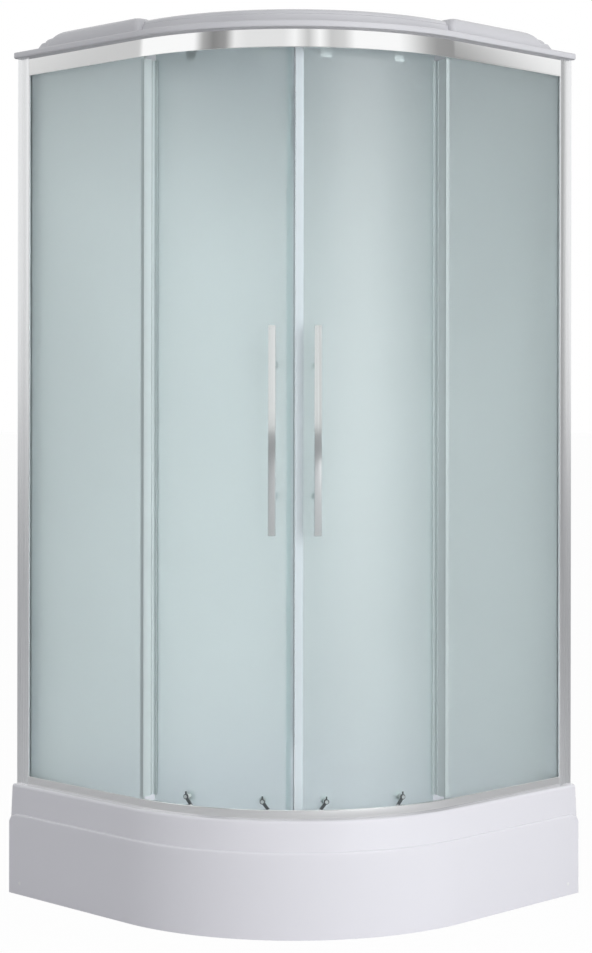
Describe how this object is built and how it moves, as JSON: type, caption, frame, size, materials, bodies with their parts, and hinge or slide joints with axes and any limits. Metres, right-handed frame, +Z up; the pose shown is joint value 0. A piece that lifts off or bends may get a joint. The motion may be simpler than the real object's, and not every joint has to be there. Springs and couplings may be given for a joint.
{
  "type": "quadrant shower enclosure",
  "caption": "Corner shower cabin with a quadrant tray and apron, frosted fixed panes, curved sliding doors on rollers, wall panels and a domed roof.",
  "frame": {"origin": "on the floor, in the middle of the square that the enclosure stands in", "axes": "+Z up; the room corner is at -X +Y, and the curved front faces +X -Y"},
  "size_m": [1, 1, 2.15],
  "materials": {
    "tray_acrylic": "gloss",
    "roof_plastic": "satin",
    "wall_panel": "gloss",
    "profile": "satin",
    "rail": "polished",
    "frosted_glass": "frosted",
    "chromed_brass": "polished",
    "steel": "satin",
    "stainless": "brushed",
    "white_plastic": "matte",
    "grey_plastic": "matte",
    "clear_seal": "satin",
    "white_seal": "satin"
  },
  "bodies": {
    "cabin": {"shower_tray": "tray_acrylic", "apron_panel": "tray_acrylic", "apron_brackets": "steel", "apron_screws": "white_plastic", "tray_support_frame": "steel", "foot_pads": "grey_plastic", "foot_studs": "stainless", "foot_lock_nuts": "stainless", "waste_cover": "chromed_brass", "waste_trap": "white_plastic", "top_rail": "rail", "bottom_rail": "rail", "rail_end_brackets": "grey_plastic", "door_stops": "grey_plastic", "wall_trim_screws": "grey_plastic", "corner_post": "profile", "roof": "roof_plastic", "left_stile": "profile", "left_fixed_pane": "frosted_glass", "left_pane_seal": "clear_seal", "left_wall_panel": "wall_panel", "left_wall_trim": "profile", "right_stile": "profile", "right_fixed_pane": "frosted_glass", "right_pane_seal": "clear_seal", "right_wall_panel": "wall_panel", "right_wall_trim": "profile"},
    "left_door": {"left_door_glass": "frosted_glass", "left_magnetic_seal": "white_seal", "left_rear_seal": "clear_seal", "left_handle_bar": "chromed_brass", "left_handle_posts": "chromed_brass", "left_handle_caps": "chromed_brass", "left_roller_carriers": "white_plastic", "left_lower_pivots": "grey_plastic"},
    "left_inner_upper_wheel": {"left_inner_upper_wheel": "white_plastic"},
    "left_inner_roller_arm": {"left_inner_roller_arm": "grey_plastic"},
    "left_inner_lower_wheel": {"left_inner_lower_wheel": "white_plastic"},
    "left_outer_upper_wheel": {"left_outer_upper_wheel": "white_plastic"},
    "left_outer_roller_arm": {"left_outer_roller_arm": "grey_plastic"},
    "left_outer_lower_wheel": {"left_outer_lower_wheel": "white_plastic"},
    "right_door": {"right_door_glass": "frosted_glass", "right_magnetic_seal": "white_seal", "right_rear_seal": "clear_seal", "right_handle_bar": "chromed_brass", "right_handle_posts": "chromed_brass", "right_handle_caps": "chromed_brass", "right_roller_carriers": "white_plastic", "right_lower_pivots": "grey_plastic"},
    "right_inner_upper_wheel": {"right_inner_upper_wheel": "white_plastic"},
    "right_inner_roller_arm": {"right_inner_roller_arm": "grey_plastic"},
    "right_inner_lower_wheel": {"right_inner_lower_wheel": "white_plastic"},
    "right_outer_upper_wheel": {"right_outer_upper_wheel": "white_plastic"},
    "right_outer_roller_arm": {"right_outer_roller_arm": "grey_plastic"},
    "right_outer_lower_wheel": {"right_outer_lower_wheel": "white_plastic"}
  },
  "joints": [
    {"name": "left_door_travel", "type": "hinge", "parent": "cabin", "child": "left_door", "pos_m": [-0.0969, 0.2029, 1.17], "axis": [0, 0, 1], "range_deg": [-26.6, 0]},
    {"name": "left_inner_upper_wheel_spin", "type": "hinge", "parent": "left_door", "child": "left_inner_upper_wheel", "pos_m": [0.24612, -0.35164, 2.0487], "axis": [0.5934, -0.8049, 0], "range_deg": [0, 1573.6]},
    {"name": "left_inner_roller_arm_lift", "type": "hinge", "parent": "left_door", "child": "left_inner_roller_arm", "pos_m": [0.24137, -0.3452, 0.304], "axis": [0.5934, -0.8049, 0], "range_deg": [0, 25], "stiffness_Nm_per_rad": 0.05, "springref_deg": -11.46},
    {"name": "left_inner_lower_wheel_spin", "type": "hinge", "parent": "left_inner_roller_arm", "child": "left_inner_lower_wheel", "pos_m": [0.2606, -0.34096, 0.2807], "axis": [0.5934, -0.8049, 0], "range_deg": [0, 2162.9]},
    {"name": "left_outer_upper_wheel_spin", "type": "hinge", "parent": "left_door", "child": "left_outer_upper_wheel", "pos_m": [0.07241, -0.43375, 2.0487], "axis": [0.2453, -0.9694, 0], "range_deg": [0, 1594.9]},
    {"name": "left_outer_roller_arm_lift", "type": "hinge", "parent": "left_door", "child": "left_outer_roller_arm", "pos_m": [0.07045, -0.426, 0.304], "axis": [0.2453, -0.9694, 0], "range_deg": [0, 25], "stiffness_Nm_per_rad": 0.05, "springref_deg": -11.46},
    {"name": "left_outer_lower_wheel_spin", "type": "hinge", "parent": "left_outer_roller_arm", "child": "left_outer_lower_wheel", "pos_m": [0.08986, -0.42934, 0.2807], "axis": [0.2453, -0.9694, 0], "range_deg": [0, 2192.3]},
    {"name": "right_door_travel", "type": "hinge", "parent": "cabin", "child": "right_door", "pos_m": [-0.2029, 0.0969, 1.17], "axis": [0, 0, 1], "range_deg": [0, 26.6]},
    {"name": "right_inner_upper_wheel_spin", "type": "hinge", "parent": "right_door", "child": "right_inner_upper_wheel", "pos_m": [0.35164, -0.24612, 2.0487], "axis": [0.8049, -0.5934, 0], "range_deg": [-1573.6, 0]},
    {"name": "right_inner_roller_arm_lift", "type": "hinge", "parent": "right_door", "child": "right_inner_roller_arm", "pos_m": [0.3452, -0.24137, 0.304], "axis": [0.8049, -0.5934, 0], "range_deg": [-25, 0], "stiffness_Nm_per_rad": 0.05, "springref_deg": 11.46},
    {"name": "right_inner_lower_wheel_spin", "type": "hinge", "parent": "right_inner_roller_arm", "child": "right_inner_lower_wheel", "pos_m": [0.34096, -0.2606, 0.2807], "axis": [0.8049, -0.5934, 0], "range_deg": [-2162.9, 0]},
    {"name": "right_outer_upper_wheel_spin", "type": "hinge", "parent": "right_door", "child": "right_outer_upper_wheel", "pos_m": [0.43375, -0.07241, 2.0487], "axis": [0.9694, -0.2453, 0], "range_deg": [-1594.9, 0]},
    {"name": "right_outer_roller_arm_lift", "type": "hinge", "parent": "right_door", "child": "right_outer_roller_arm", "pos_m": [0.426, -0.07045, 0.304], "axis": [0.9694, -0.2453, 0], "range_deg": [-25, 0], "stiffness_Nm_per_rad": 0.05, "springref_deg": 11.46},
    {"name": "right_outer_lower_wheel_spin", "type": "hinge", "parent": "right_outer_roller_arm", "child": "right_outer_lower_wheel", "pos_m": [0.42934, -0.08986, 0.2807], "axis": [0.9694, -0.2453, 0], "range_deg": [-2192.3, 0]}
  ],
  "couplings": [
    {"joint": "left_inner_upper_wheel_spin", "follows": "left_door_travel", "ratio": -59.082},
    {"joint": "left_inner_lower_wheel_spin", "follows": "left_door_travel", "ratio": -81.237},
    {"joint": "left_outer_upper_wheel_spin", "follows": "left_door_travel", "ratio": -59.885},
    {"joint": "left_outer_lower_wheel_spin", "follows": "left_door_travel", "ratio": -82.342},
    {"joint": "right_inner_upper_wheel_spin", "follows": "right_door_travel", "ratio": -59.082},
    {"joint": "right_inner_lower_wheel_spin", "follows": "right_door_travel", "ratio": -81.237},
    {"joint": "right_outer_upper_wheel_spin", "follows": "right_door_travel", "ratio": -59.885},
    {"joint": "right_outer_lower_wheel_spin", "follows": "right_door_travel", "ratio": -82.342}
  ]
}
